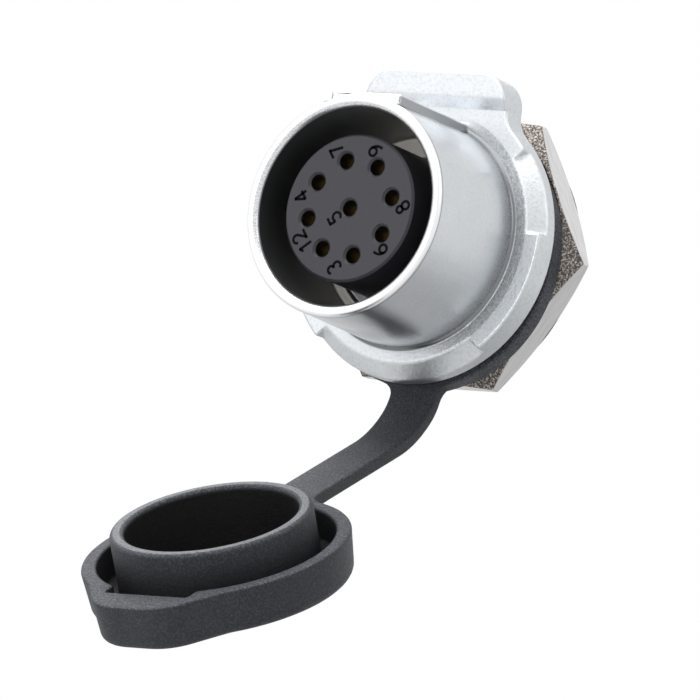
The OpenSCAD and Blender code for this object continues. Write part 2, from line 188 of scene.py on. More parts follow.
class Graph:
    """A node tree that is filled by expressions."""

    def __init__(self, tree: bpy.types.NodeTree) -> None:
        """Empties a tree and takes it over."""
        self.tree = tree
        tree.nodes.clear()

    def node(
        self,
        kind: str,
        settings: Mapping[str, Any] | None = None,
        sockets: Mapping[str | int, Any] | None = None,
        output: str | int = 0,
    ) -> Sock:
        """Adds a node, sets it up and feeds its sockets.

        Args:
            kind: The node's type name.
            settings: Properties of the node, set first.
            sockets: Values or links of its inputs, by name or place.
            output: The output to hand back, by name or place.

        Returns:
            The chosen output, or the first input where the node has no output.
        """
        made = self.tree.nodes.new(kind)
        for key, value in (settings or {}).items():
            setattr(made, key, value)
        for key, value in (sockets or {}).items():
            if isinstance(value, Sock):
                self.tree.links.new(value.socket, made.inputs[key])
            else:
                made.inputs[key].default_value = value
        return Sock(self, made.outputs[output] if len(made.outputs) else made.inputs[0])

    def vector(self, operation: str, first: Sock, second: Any) -> Sock:
        """Adds one Vector Math node on a vector and a second one, or a number for SCALE."""
        place = "Scale" if operation == "SCALE" else 1
        return self.node("ShaderNodeVectorMath", {"operation": operation}, {0: first, place: second})

    def place(self) -> Sock:
        """Gives the Object coordinates in millimetres."""
        return self.vector("SCALE", self.node("ShaderNodeTexCoord", output="Object"), 1 / MM)

    def split(self, vector: Sock) -> tuple[Sock, Sock, Sock]:
        """Gives the three parts of a vector."""
        parts = self.node("ShaderNodeSeparateXYZ", sockets={0: vector}).socket.node.outputs
        return (Sock(self, parts[0]), Sock(self, parts[1]), Sock(self, parts[2]))

    def noise(self, place: Sock, grain: Grain) -> Sock:
        """Makes a noise.

        Args:
            place: The place in millimetres.
            grain: The noise's scale and detail.

        Returns:
            The noise, from 0 to 1.
        """
        scale = grain.lumps
        if isinstance(scale, tuple):
            place, scale = self.vector("MULTIPLY", place, scale), 1.0
        sockets = {"Vector": place, "Scale": scale, "Detail": grain.detail, "Roughness": grain.rough}
        return self.node("ShaderNodeTexNoise", sockets=sockets)

    def tint(self, factor: Sock | float, first: Sock | Colour, second: Sock | Colour) -> Sock:
        """Mixes two colours."""
        settings = {"data_type": "RGBA", "clamp_factor": True}
        return self.node("ShaderNodeMix", settings, {0: factor, 6: first, 7: second}, 2)

    def bump(self, height: Sock, depth: float) -> Sock:
        """Gives a normal that follows a height of 0 to 1, with a depth in millimetres."""
        sockets = {"Height": height, "Strength": 1.0, "Distance": depth * MM}
        return self.node("ShaderNodeBump", sockets=sockets)

    def principled(self, sockets: Mapping[str, Any]) -> Sock:
        """Adds the shader of a surface."""
        return self.node("ShaderNodeBsdfPrincipled", sockets=sockets)


# Finishes, with their sizes in millimetres

@dataclass(frozen=True)
class Finish:
    """A finish of one kind of surface."""

    name: str = "finish"

    def surface(self, graph: Graph) -> Sock:
        """Builds the shader.

        Args:
            graph: The material's empty tree.

        Returns:
            The shader's output.
        """
        raise NotImplementedError

    def material(self) -> bpy.types.Material:
        """Makes the material that holds this finish.

        Returns:
            The material.
        """
        made = bpy.data.materials.new(self.name)
        made.use_nodes = True
        graph = Graph(made.node_tree)
        shader = self.surface(graph)
        graph.node("ShaderNodeOutputMaterial", sockets={"Surface": shader})
        return made


@dataclass(frozen=True)
class CastZinc(Finish):
    """Satin plated zinc casting: sand-grained on the flange, smooth on the barrel, black inside the mouth,
    with painted shade round the barrel's root, a painted highlight on the rim, and painted light and a
    painted reflection on and near the mouth's floor.
    """

    name: str = "cast_zinc"
    metal: Colour = (0.72, 0.745, 0.77, 1.0)
    dull: Colour = (0.50, 0.52, 0.54, 1.0)
    # Brighter tone of the rim, a painted highlight
    painted_rim_highlight: Colour = (0.96, 0.97, 0.98, 1.0)
    lining: Colour = srgb(60, 61, 62)
    # Lighter brownish grey deep in the mouth, a painted reflection of the floor
    floor_reflection: Colour = srgb(122, 119, 113)
    # Near-white tone of the mouth's floor, painted light
    floor: Colour = (0.95, 0.93, 0.88, 1.0)
    # Dark tone of the painted shade on the casting
    painted_shade_tone: Colour = (0.10, 0.105, 0.11, 1.0)
    grain: Grain = Grain(3.2, 4.0, 0.6)
    fine: Grain = Grain(7.0, 4.0, 0.7)
    cloud: Grain = Grain(0.35)
    edge: float = 0.1
    grain_depth: float = 0.035
    bore_r: float = 9.4
    lip_r: float = 9.6
    lining_from: float = -14.9
    reflection_offset: float = 4.0
    floor_at: float = -3.2
    rim_back: float = -14.95
    outer_r: float = 9.9
    root_r: float = 10.85
    root_shade_reach: float = 2.9
    flange_front: float = -2.8
    flange_blend: float = 1.1
    scoop_r: float = 12.05
    # Where the painted shade on one side of the flange begins and ends
    side_shade_from: float = 2.0
    side_shade_to: float = 8.0
    pad_half_w: float = 3.8
    pad_foot: float = 9.2
    pad_top: float = 10.6

    def surface(self, graph: Graph) -> Sock:
        """Builds the shader from the place along the axis and the distance from it.

        Args:
            graph: The material's empty tree.

        Returns:
            The shader's output.
        """
        place = graph.place()
        x, y, z = graph.split(place)
        radius = x.hypot(z)
        edge = self.edge
        front = self.flange_front
        grain = graph.noise(place, self.grain)
        fine = graph.noise(place, self.fine).rise(0.36, 0.64)
        cloud = graph.noise(place, self.cloud)
        mouth = radius.fall(self.bore_r, self.bore_r + edge / 2)
        within = mouth * y.rise(self.lining_from, self.lining_from + edge)
        deep = y.rise(self.floor_at - 2 * edge, self.floor_at - edge)
        lined = within * (1 - deep)
        # The mouth's floor takes a near-white tone, painted light, and a rougher surface
        painted_floor_light = within * deep * y.fall(self.floor_at + edge / 2, self.floor_at + edge)
        rim = y.fall(self.rim_back - edge, self.rim_back)
        on_flange = y.rise(front - self.flange_blend, front - self.flange_blend + 2 * edge)
        cast = radius.rise(self.root_r, self.root_r + 3 * edge) * on_flange
        # Painted shade round the barrel's root, beside the key pad and in the crevice, a painted dark
        # reflection line behind the rim, and a darker patch on one side of the flange
        shade_mask = self._painted_shade(radius, (x, y, z), fine).most(self._crevice_and_side_shade(radius, x, y, cast, fine))
        wear_and_highlight = (grain.rise(0.45, 0.7) * (0.2 + 0.2 * cast) + 0.25 * cloud).least(1.0) * (1 - rim)
        # The rim takes a brighter tone, a painted highlight; elsewhere the plain metal
        painted_light_tone = graph.tint(rim, self.metal, self.painted_rim_highlight)
        bare = graph.tint(shade_mask, graph.tint(wear_and_highlight, painted_light_tone, self.dull), self.painted_shade_tone)
        # Deep in the mouth the dark lining turns a lighter brownish grey, a painted reflection of the floor
        toward_floor_reflection = y.rise(self.lining_from + self.reflection_offset, self.floor_at)
        lining_and_reflection = graph.tint(toward_floor_reflection, self.lining, self.floor_reflection)
        return graph.principled({
            "Base Color": graph.tint(painted_floor_light, graph.tint(lined, bare, lining_and_reflection), self.floor),
            "Metallic": 1 - lined,
            "Roughness": 0.24 + 0.12 * cast + 0.10 * cloud + 0.06 * lined + 0.3 * painted_floor_light,
            "Normal": graph.bump(grain * (0.12 + 0.88 * cast), self.grain_depth),
        })

    def _crevice_and_side_shade(self, radius: Sock, x: Sock, y: Sock, cast: Sock, fine: Sock) -> Sock:
        """Gives painted shade: a dark line in the crevice round the barrel's foot and a darker patch on one
        side of the flange.

        Args:
            radius: The distance from the axis.
            x: The place across the axis.
            y: The place along the axis.
            cast: Where the surface is as cast.
            fine: A fine grain.

        Returns:
            How dark they are, from 0 to 1.
        """
        edge = self.edge
        foot = radius.rise(self.root_r - 3 * edge, self.root_r - edge)
        near = radius.fall(self.root_r, self.root_r + 2.2 * edge)
        # Painted shade: a dark line in the crevice at the barrel's foot
        crevice = near * foot * y.rise(self.flange_front - 5 * edge, self.flange_front - 2.5 * edge)
        scooped = radius.fall(self.scoop_r - 1.5 * edge, self.scoop_r)
        # Painted shade on the flange's face to one side of the barrel
        stain_and_shade = cast * scooped * x.rise(self.side_shade_from, self.side_shade_to) * (0.2 + 0.4 * fine)
        return (0.8 * crevice).most(stain_and_shade)

    def _painted_shade(self, radius: Sock, place: tuple[Sock, Sock, Sock], fine: Sock) -> Sock:
        """Gives painted shade on the barrel round its root and beside the key pad, a painted dark reflection
        line behind the rim, and a speckled grey on the rim's inner chamfer.

        Args:
            radius: The distance from the axis.
            place: The place as three values.
            fine: A fine grain.

        Returns:
            How dark it is, from 0 to 1.
        """
        x, y, z = place
        edge = self.edge
        front = self.flange_front
        outside = radius.rise(self.outer_r, self.outer_r + 2 * edge)
        ahead = y.fall(front + edge, front + 3 * edge)
        barrel = outside * radius.fall(self.root_r - edge, self.root_r)
        # Painted shade on the barrel near its root, speckled
        root = barrel * y.rise(front - self.root_shade_reach, front - 3 * edge) * (0.25 + 0.4 * fine)
        lip = y.fall(self.rim_back - edge, self.rim_back) * radius.fall(self.lip_r, self.lip_r + 1.5 * edge)
        behind_rim = y.rise(self.rim_back, self.rim_back + 0.6 * edge)
        # A painted dark reflection line just behind the rim's rounding
        rim_reflection_line = outside * behind_rim * y.fall(self.rim_back + 1.2 * edge, self.rim_back + 2 * edge)
        away = (x * x) ** 0.5 - self.pad_half_w
        flank = z.rise(self.pad_foot, self.pad_foot + 3 * edge) * z.fall(self.pad_top - edge, self.pad_top)
        # Painted shade beside the key pad
        beside = (away * away).fall(edge ** 2, (3 * edge) ** 2) * flank * ahead
        return root.most(0.55 * rim_reflection_line).most(0.5 * beside).most(0.45 * lip * fine)


@dataclass(frozen=True)
class NickelNut(Finish):
    """Bright nickel on the flats, dark and speckled with painted glints on the chamfered front, and dull
    behind.
    """

    name: str = "nickel_nut"
    bright: Colour = (0.80, 0.79, 0.79, 1.0)
    brushed: Colour = (0.70, 0.69, 0.69, 1.0)
    dark: Colour = (0.085, 0.075, 0.068, 1.0)
    # Bright speckles on the chamfers, painted glints
    glint: Colour = (0.58, 0.53, 0.49, 1.0)
    speckle: Grain = Grain(5.2, 5.0, 0.7)
    brushing: Grain = Grain((0.5, 5.0, 0.5))
    front: float = 2.75
    back: float = 6.05
    face_r: float = 12.55
    slope: float = 0.577
    edge_from: float = 0.02
    edge_to: float = 0.12
    dirt_behind: float = 0.3
    grain_depth: float = 0.03

    def surface(self, graph: Graph) -> Sock:
        """Builds the shader from the two chamfer cones.

        Args:
            graph: The material's empty tree.

        Returns:
            The shader's output.
        """
        place = graph.place()
        x, y, z = graph.split(place)
        lift = (x.hypot(z) - self.face_r).most(0.0) * self.slope
        before = (y - lift).fall(self.front + self.edge_from, self.front + self.edge_to)
        behind = (y + lift).rise(self.back - self.edge_to, self.back - self.edge_from)
        faced = before.most(self.dirt_behind * behind)
        speckle = graph.noise(place, self.speckle)
        streak = graph.noise(place, self.brushing)
        flats = graph.tint(streak.rise(0.35, 0.7), self.bright, self.brushed)
        faces = graph.tint(speckle.rise(0.46, 0.66), self.dark, self.glint)
        return graph.principled({
            "Base Color": graph.tint(faced, flats, faces),
            "Metallic": 1.0,
            "Roughness": 0.30 + 0.08 * streak + 0.10 * faced,
            "Normal": graph.bump(speckle * (0.1 + 0.9 * faced), self.grain_depth),
        })


@dataclass(frozen=True, kw_only=True)
class MattRubber(Finish):
    """Moulded black rubber: a sand-grained bloom, made stronger on the upper faces, lips and ring as painted
    light, a painted highlight along the plug's top lip, and painted shade, near black, inside the cap.

    The cap's sizes are from the middle of its underside, in the flat state.
    """

    name: str = "matt_rubber"
    black: Colour = srgb(26, 28, 32)
    bloom: Colour = srgb(128, 131, 139)
    # Near-black tone of the painted shade in the cup and gutter
    painted_light_tone: Colour = srgb(13, 13, 16)
    # Pale tone along the plug's top lip, a painted highlight
    wear_and_highlight: Colour = srgb(168, 170, 175)
    grain: Grain = Grain(5.0, 4.0, 0.65)
    cloud: Grain = Grain(0.25, 2.0)
    cup_r: float
    cup_floor: float
    plug_r: float
    plug_top: float
    skirt_r: float
    skirt_top: float
    strap_from: float = 18.0
    strap_to: float = 30.0
    ring_from: float
    ring_blend: float = 2.0
    grain_depth: float = 0.14

    def surface(self, graph: Graph) -> Sock:
        """Builds the shader from the place in the mould and a fine grain.

        Args:
            graph: The material's empty tree.

        Returns:
            The shader's output.
        """
        place = graph.place()
        grain = graph.noise(place, self.grain)
        cloud = graph.noise(place, self.cloud)
        mould = graph.node("ShaderNodeAttribute", {"attribute_name": MOULD}, output="Vector")
        across, along, height = graph.split(mould)
        radius = across.hypot(along)
        on_top = height.rise(self.skirt_top - 0.16, self.skirt_top - 0.04)
        on_cap = radius.rise(self.skirt_r - 0.4, self.skirt_r) * radius.fall(self.strap_from, self.strap_to)
        lip = height.rise(self.plug_top - 0.4, self.plug_top - 0.02)
        on_ring = radius.rise(self.ring_from, self.ring_from + self.ring_blend)
        # A dust bloom over all the rubber, made stronger on the upper faces, lips and ring as painted light
        dust_and_light_mask = (on_top * on_cap).most(lip).most(0.6 * on_ring)
        dust_and_light = 0.08 + 0.12 * cloud + (0.2 + 0.48 * dust_and_light_mask) * grain.rise(0.42, 0.68) + 0.12 * dust_and_light_mask
        # A painted highlight along the plug ring's top lip, speckled
        wear_and_highlight = 0.75 * height.rise(self.plug_top - 0.05, self.plug_top - 0.01) * grain.rise(0.3, 0.5)
        skin = graph.tint(dust_and_light, self.black, self.bloom)
        # Painted shade, near black, in the cup and the gutter
        kept = graph.tint(self._shaded_hollows(radius, height), skin, self.painted_light_tone)
        return graph.principled({
            "Base Color": graph.tint(wear_and_highlight, kept, self.wear_and_highlight),
            "Roughness": 0.38 + 0.2 * grain,
            "Specular IOR Level": 0.25,
            "Normal": graph.bump(grain, self.grain_depth),
        })

    def _shaded_hollows(self, radius: Sock, height: Sock) -> Sock:
        """Gives the painted shade in the hollows: the cup, and the gutter between plug ring and skirt.

        Args:
            radius: The distance from the cap's axis.
            height: The height over the cap's underside.

        Returns:
            How dark the painted shade is there, from 0 to 1.
        """
        over_floor = height.rise(self.cup_floor - 0.3, self.cup_floor - 0.1)
        in_cup = radius.fall(self.cup_r, self.cup_r + 0.15)
        cup = in_cup * height.fall(self.plug_top - 0.6, self.plug_top - 0.2)
        past_plug = radius.rise(self.plug_r - 0.2, self.plug_r - 0.1)
        in_skirt = radius.fall(self.skirt_r + 0.1, self.skirt_r + 0.3)
        gutter = past_plug * in_skirt * height.fall(self.skirt_top - 0.6, self.plug_top - 0.4)
        return cup.most(0.7 * gutter) * over_floor


@dataclass(frozen=True)
class MouldedInsulator(Finish):
    """Grey moulded plastic, with painted shade, black, inside its holes."""

    name: str = "moulded_insulator"
    grey: Colour = srgb(51, 51, 57)
    pale: Colour = srgb(64, 64, 71)
    # Black of the painted shade inside the holes
    inside: Colour = srgb(8, 8, 10)
    grain: Grain = Grain(6.0, 3.0, 0.6)
    shade_from: float = -14.0
    shade_to: float = -11.5
    shade_fade: float = 1.0
    face_r: float = 6.5
    edge: float = 0.05
    grain_depth: float = 0.012

    def surface(self, graph: Graph) -> Sock:
        """Builds the shader from the depth behind the face.

        Args:
            graph: The material's empty tree.

        Returns:
            The shader's output.
        """
        place = graph.place()
        x, y, z = graph.split(place)
        near = x.hypot(z).fall(self.face_r, self.face_r + self.edge)
        sunk = near * y.rise(self.shade_from, self.shade_from + self.edge)
        # Painted shade: the holes' walls turn black behind the face
        hole_shade = sunk * y.fall(self.shade_to, self.shade_to + self.shade_fade)
        grain = graph.noise(place, self.grain)
        return graph.principled({
            "Base Color": graph.tint(hole_shade, graph.tint(grain, self.grey, self.pale), self.inside),
            "Roughness": 0.34 + 0.14 * grain,
            "Normal": graph.bump(grain, self.grain_depth),
        })


@dataclass(frozen=True)
class NumeralInk(Finish):
    """Dead black ink of the numerals, slightly worn."""

    name: str = "numeral_ink"
    black: Colour = srgb(5, 5, 7)
    wear_and_highlight: Colour = srgb(24, 24, 28)
    wear: Grain = Grain(4.0)

    def surface(self, graph: Graph) -> Sock:
        """Builds the shader from a fine wear.

        Args:
            graph: The material's empty tree.

        Returns:
            The shader's output.
        """
        wear = graph.noise(graph.place(), self.wear)
        return graph.principled({
            "Base Color": graph.tint(wear.rise(0.5, 0.8), self.black, self.wear_and_highlight),
            "Roughness": 0.7 + 0.2 * wear,
            "Specular IOR Level": 0.1,
        })


@dataclass(frozen=True)
class GoldPlate(Finish):
    """Turned brass with a thin gold plating."""

    name: str = "gold_plate"
    gold: Colour = (0.86, 0.60, 0.22, 1.0)
    deep: Colour = (0.62, 0.40, 0.12, 1.0)
    marks: Grain = Grain((0.4, 9.0, 0.4), 2.0)
    mark_depth: float = 0.006

    def surface(self, graph: Graph) -> Sock:
        """Builds the shader with fine turning marks round each contact.

        Args:
            graph: The material's empty tree.

        Returns:
            The shader's output.
        """
        marks = graph.noise(graph.place(), self.marks)
        return graph.principled({
            "Base Color": graph.tint(0.5 * marks, self.gold, self.deep),
            "Metallic": 1.0,
            "Roughness": 0.18 + 0.16 * marks,
            "Normal": graph.bump(marks, self.mark_depth),
        })


@dataclass(frozen=True)
class SpringSteel(Finish):
    """Bare spring steel, rolled and slightly stained."""

    name: str = "spring_steel"
    steel: Colour = (0.47, 0.48, 0.50, 1.0)
    stain_and_shade: Colour = (0.30, 0.29, 0.28, 1.0)
    patches: Grain = Grain(0.8, 4.0, 0.6)
    scratches: Grain = Grain((8.0, 1.0, 1.0), 2.0)
    scratch_depth: float = 0.01

    def surface(self, graph: Graph) -> Sock:
        """Builds the shader from a coarse stain and fine scratches.

        Args:
            graph: The material's empty tree.

        Returns:
            The shader's output.
        """
        place = graph.place()
        stained = graph.noise(place, self.patches)
        scratch = graph.noise(place, self.scratches)
        return graph.principled({
            "Base Color": graph.tint(stained.rise(0.4, 0.7), self.steel, self.stain_and_shade),
            "Metallic": 1.0,
            "Roughness": 0.26 + 0.2 * scratch,
            "Normal": graph.bump(scratch, self.scratch_depth),
        })


@dataclass(frozen=True)
class PaleFloor(Finish):
    """Plain pale paper of the floor."""

    name: str = "pale_floor"
    paper: Colour = (0.80, 0.80, 0.81, 1.0)
    shade: Colour = (0.76, 0.76, 0.77, 1.0)
    mottling: Grain = Grain(0.02, 2.0)
    glow_share: float = 0.88

    def surface(self, graph: Graph) -> Sock:
        """Builds the shader from a very soft mottling, paler to the eye than to the lamps.

        Args:
            graph: The material's empty tree.

        Returns:
            The shader's output.
        """
        mottle = graph.noise(graph.place(), self.mottling)
        paper = graph.principled({
            "Base Color": graph.tint(mottle, self.paper, self.shade),
            "Roughness": 0.8,
        })
        glow = graph.node("ShaderNodeEmission", sockets={"Color": WHITE, "Strength": 1.0})
        seen = graph.node("ShaderNodeLightPath", output="Is Camera Ray")
        return graph.node("ShaderNodeMixShader", sockets={0: seen * self.glow_share, 1: paper, 2: glow})


# Mesh helpers

def place_object(name: str, data: bpy.types.ID) -> bpy.types.Object:
    """Puts data into the scene as an object.

    Args:
        name: The object's name.
        data: Its mesh, curve, camera or lamp.

    Returns:
        The object, at the origin.
    """
    made = bpy.data.objects.new(name, data)
    bpy.context.scene.collection.objects.link(made)
    return made


def add_object(name: str, mesh: bpy.types.Mesh, material: bpy.types.Material) -> bpy.types.Object:
    """Puts a mesh into the scene as an object.

    Args:
        name: The piece's name.
        mesh: Its mesh, in place.
        material: Its only material.

    Returns:
        The object, at the origin.
    """
    mesh.materials.clear()
    mesh.materials.append(material)
    return place_object(name, mesh)


def add_lines(name: str, lines: Sequence[Sequence[Vector]]) -> bpy.types.Object:
    """Puts straight-sided lines into the scene as one curve.

    Args:
        name: The curve's name.
        lines: The lines, each a row of points.

    Returns:
        The curve's object, at the origin.
    """
    curve = bpy.data.curves.new(name, "CURVE")
    curve.dimensions = "3D"
    for line in lines:
        spline = curve.splines.new("POLY")
        spline.points.add(len(line) - 1)
        for point, at in zip(spline.points, line):
            point.co = (*at, 1.0)
    return place_object(name, curve)


def discard(obj: bpy.types.Object) -> None:
    """Removes a scratch object together with its data.

    Args:
        obj: The object.
    """
    data = obj.data
    bpy.data.objects.remove(obj)
    bpy.data.batch_remove([data])


def dress(node: str, material: bpy.types.Material) -> bpy.types.Object:
    """Gives a CAD node's own object a material.

    Args:
        node: The node's name.
        material: Its only material.

    Returns:
        The node's object.
    """
    obj = frame["nodes"][node]
    obj.data.materials.clear()
    obj.data.materials.append(material)
    return obj


def settle(obj: bpy.types.Object) -> None:
    """Turns an object's modifiers into a plain mesh and removes them.

    Args:
        obj: The object.
    """
    depsgraph = bpy.context.evaluated_depsgraph_get()
    mesh = bpy.data.meshes.new_from_object(obj.evaluated_get(depsgraph), depsgraph=depsgraph)
    old = obj.data
    obj.modifiers.clear()
    obj.data = mesh
    bpy.data.meshes.remove(old)


def smooth(mesh: bpy.types.Mesh, angle: float) -> None:
    """Shades a mesh smoothly, with edges over an angle in degrees kept sharp."""
    mesh.polygons.foreach_set("use_smooth", [True] * len(mesh.polygons))
    mesh.set_sharp_from_angle(angle=math.radians(angle))


def join(obj: bpy.types.Object, other: bpy.types.Object) -> None:
    """Adds another object's solid to an object's, and removes the other object.

    Args:
        obj: The object that grows.
        other: The object that goes into it.
    """
    modifier = obj.modifiers.new("join", "BOOLEAN")
    modifier.operation = "UNION"
    modifier.solver = "EXACT"
    modifier.use_self = True
    modifier.object = other
    settle(obj)
    discard(other)


def merged_copy(node: str) -> bpy.types.Mesh:
    """Copies a CAD node's mesh, with its triangles merged into whole faces.

    Args:
        node: The node's name.

    Returns:
        The copy, with shared corners and no normals of its own.
    """
    mesh = frame["nodes"][node].data.copy()
    work = bmesh.new()
    work.from_mesh(mesh)
    bmesh.ops.remove_doubles(work, verts=work.verts[:], dist=MERGE)
    flat = math.radians(FLAT_ANGLE)
    bmesh.ops.dissolve_limit(work, angle_limit=flat, verts=work.verts[:], edges=work.edges[:])
    work.to_mesh(mesh)
    work.free()
    normals = mesh.attributes.get("custom_normal")
    if normals is not None:
        mesh.attributes.remove(normals)
    return mesh


def weigh_edges(mesh: bpy.types.Mesh, angle: float) -> None:
    """Marks the edges that are to be rounded: the sharp ones that bound no sliver of a face.

    Args:
        mesh: The mesh, with whole faces.
        angle: The angle in degrees over which an edge is sharp.
    """
    work = bmesh.new()
    work.from_mesh(mesh)
    weight = work.edges.layers.float.new("bevel_weight_edge")
    for edge in work.edges:
        broad = all(2 * face.calc_area() > SLIVER * face.calc_perimeter() for face in edge.link_faces)
        edge[weight] = float(broad and edge.calc_face_angle(0.0) > math.radians(angle))
    work.to_mesh(mesh)
    work.free()


def soften(obj: bpy.types.Object, width: float, angle: float) -> None:
    """Rounds an object's sharp edges and shades it smoothly.

    Args:
        obj: The object, with whole faces.
        width: The width of the rounding.
        angle: The angle in degrees over which an edge is rounded.
    """
    weigh_edges(obj.data, angle)
    bevel = obj.modifiers.new("soften", "BEVEL")
    bevel.width = width
    bevel.segments = BEVEL_STEPS
    bevel.limit_method = "WEIGHT"
    bevel.use_clamp_overlap = False
    settle(obj)
    smooth(obj.data, angle)
    weighted = obj.modifiers.new("weighted", "WEIGHTED_NORMAL")
    weighted.keep_sharp = True
    settle(obj)


def loft(name: str, rings: Sequence[Sequence[Vector]], wrap: bool = False) -> bpy.types.Mesh:
    """Makes a closed mesh through a row of closed rings with equal counts of points.

    Args:
        name: The mesh's name.
        rings: The rings, each a closed row of points.
        wrap: Whether the last ring joins the first; if not, both end rings are filled.

    Returns:
        The mesh, with its faces outwards.
    """
    work = bmesh.new()
    rows = [[work.verts.new(point) for point in ring] for ring in rings]
    pairs = list(zip(rows, rows[1:]))
    if wrap:
        pairs.append((rows[-1], rows[0]))
    else:
        work.faces.new(rows[0])
        work.faces.new(rows[-1])
    for first, second in pairs:
        for i in range(len(first)):
            work.faces.new((first[i - 1], first[i], second[i], second[i - 1]))
    bmesh.ops.recalc_face_normals(work, faces=work.faces[:])
    mesh = bpy.data.meshes.new(name)
    work.to_mesh(mesh)
    work.free()
    return mesh


def arc(centre: Point, radius: float, start: float, end: float, steps: int) -> list[Point]:
    """Gives points on an arc between two angles in degrees, both ends included."""
    angles = [math.radians(start + (end - start) * i / steps) for i in range(steps + 1)]
    return [(centre[0] + radius * math.cos(a), centre[1] + radius * math.sin(a)) for a in angles]


def rounded_box(low: Point, high: Point, edge: float, steps: int) -> list[Point]:
    """Gives the outline of a rectangle with rounded corners.

    Args:
        low: Its lowest corner.
        high: Its highest corner.
        edge: The radius of its corners.
        steps: The steps round each corner.

    Returns:
        The outline's points, from the right side round by the top.
    """
    left, bottom = low[0] + edge, low[1] + edge
    right, top = high[0] - edge, high[1] - edge
    outline = []
    for i, centre in enumerate(((right, top), (left, top), (left, bottom), (right, bottom))):
        outline += arc(centre, edge, 90.0 * i, 90.0 * i + 90.0, steps)
    return outline


# The strokes of each numeral, one high, round its middle
NINE = [arc((0.0, 0.2), 0.28, 0.0, 360.0, 20), arc((-0.42, 0.2), 0.7, 0.0, -75.0, 8)]
DIGITS: dict[int, list[list[Point]]] = {
    1: [[(-0.2, 0.28), (0.1, 0.5)], [(0.06, 0.5), (0.06, -0.5)]],
    2: [arc((0.0, 0.22), 0.28, 170.0, -35.0, 12) + [(-0.3, -0.5)], [(-0.36, -0.46), (0.34, -0.46)]],
    3: [arc((-0.04, 0.25), 0.25, 150.0, -90.0, 12), arc((-0.04, -0.24), 0.27, 90.0, -150.0, 12)],
    4: [[(0.14, -0.5), (0.14, 0.5)], [(0.14, 0.5), (-0.3, -0.2)], [(-0.36, -0.2), (0.34, -0.2)]],
    5: [[(0.28, 0.44), (-0.28, 0.44)], [(-0.2, 0.5), (-0.24, 0.0)],
        arc((-0.02, -0.2), 0.3, 130.0, -145.0, 14)],
    6: [[(-x, -y) for x, y in stroke] for stroke in NINE],
    7: [[(-0.32, 0.44), (0.36, 0.44)], [(0.28, 0.5), (-0.1, -0.5)]],
    8: [arc((0.0, 0.25), 0.23, 0.0, 360.0, 20), arc((0.0, -0.23), 0.27, 0.0, 360.0, 20)],
    9: NINE,
}


# Geometry trees

class GeometryTree:
    """A Geometry Nodes tree with named inputs, which makes one piece."""

    def __init__(self, name: str, inputs: Mapping[str, str]) -> None:
        """Makes the tree and its inputs.

        Args:
            name: The tree's name.
            inputs: The kind of each input after the geometry, such as Float, by name.
        """
        self.tree = bpy.data.node_groups.new(name, "GeometryNodeTree")
        self.tree.is_modifier = True
        self._socket("Geometry", "Geometry", "INPUT")
        kinds = {**inputs, "Material": "Material"}
        self.sockets = {key: self._socket(key, kind, "INPUT") for key, kind in kinds.items()}
        self._socket("Geometry", "Geometry", "OUTPUT")
        self.graph = Graph(self.tree)
        self.entry = self.graph.node("NodeGroupInput").socket.node

    def _socket(self, name: str, kind: str, side: str) -> bpy.types.NodeTreeInterfaceSocket:
        """Adds one socket to the tree's own inputs or outputs."""
        return self.tree.interface.new_socket(name, in_out=side, socket_type=f"NodeSocket{kind}")

    def given(self, name: str) -> Sock:
        """Gives a named input inside the tree."""
        return Sock(self.graph, self.entry.outputs[name])

    def path(self) -> Sock:
        """Gives the curve of the object that the input Path names."""
        sockets = {"Object": self.given("Path")}
        return self.graph.node("GeometryNodeObjectInfo", sockets=sockets, output="Geometry")

    def sweep(self, curve: Sock, section: Sock) -> Sock:
        """Sweeps a section along a curve and closes both ends."""
        sockets = {"Curve": curve, "Profile Curve": section, "Fill Caps": True}
        return self.graph.node("GeometryNodeCurveToMesh", sockets=sockets)

    def close(self, geometry: Sock) -> None:
        """Ends the tree: instances made real, then the material.

        Args:
            geometry: What the tree has made.
        """
        real = self.graph.node("GeometryNodeRealizeInstances", sockets={0: geometry})
        dressed = self.graph.node("GeometryNodeSetMaterial", sockets={
            "Geometry": real, "Material": self.given("Material")})
        self.graph.node("NodeGroupOutput", sockets={0: dressed})

    def apply(self, obj: bpy.types.Object, values: Mapping[str, Any]) -> None:
        """Runs the tree on an object and keeps the result as its plain mesh.

        Args:
            obj: The object whose mesh goes in.
            values: The value of each named input.
        """
        modifier = obj.modifiers.new(self.tree.name, "NODES")
        modifier.node_group = self.tree
        for name, value in values.items():
            modifier[self.sockets[name].identifier] = value
        settle(obj)


